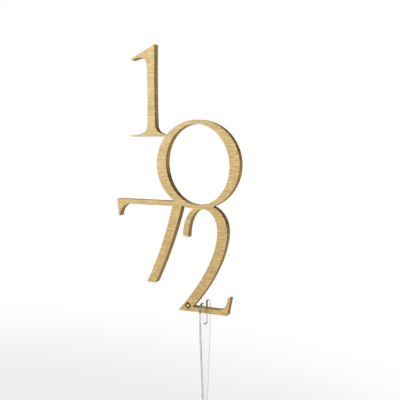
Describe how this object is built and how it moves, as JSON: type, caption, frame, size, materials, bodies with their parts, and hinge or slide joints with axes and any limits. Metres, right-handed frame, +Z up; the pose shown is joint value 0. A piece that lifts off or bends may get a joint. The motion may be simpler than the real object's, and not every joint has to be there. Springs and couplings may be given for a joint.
{
  "type": "cake topper",
  "caption": "Upright cake topper: a brushed-gold board of linked serif numerals, gripped at its foot by the forked head of a clear stake that pushes into the cake.",
  "frame": {"origin": "on the stake's centre line, level with the top of the cake that it is pushed into", "axes": "+Z up the stake, +X along the board to the right as the numerals are read, -Y out of the front"},
  "size_m": [0.0765, 0.014, 0.2187],
  "materials": {
    "board_core": "laser-cut fibreboard edge, brown gold, matt",
    "gold_film": "metallised film, pale gold, brushed along the board",
    "clear_acrylic": "clear cast sheet with polished edges"
  },
  "bodies": {
    "stake": {"stake": "clear_acrylic"},
    "panel": {"core_board": "board_core", "front_film": "gold_film", "back_film": "gold_film"}
  },
  "joints": [
    {"name": "panel_slide", "type": "slide", "parent": "stake", "child": "panel", "axis": [0, 0, 1], "range_m": [-0.0061, 0.005]}
  ]
}
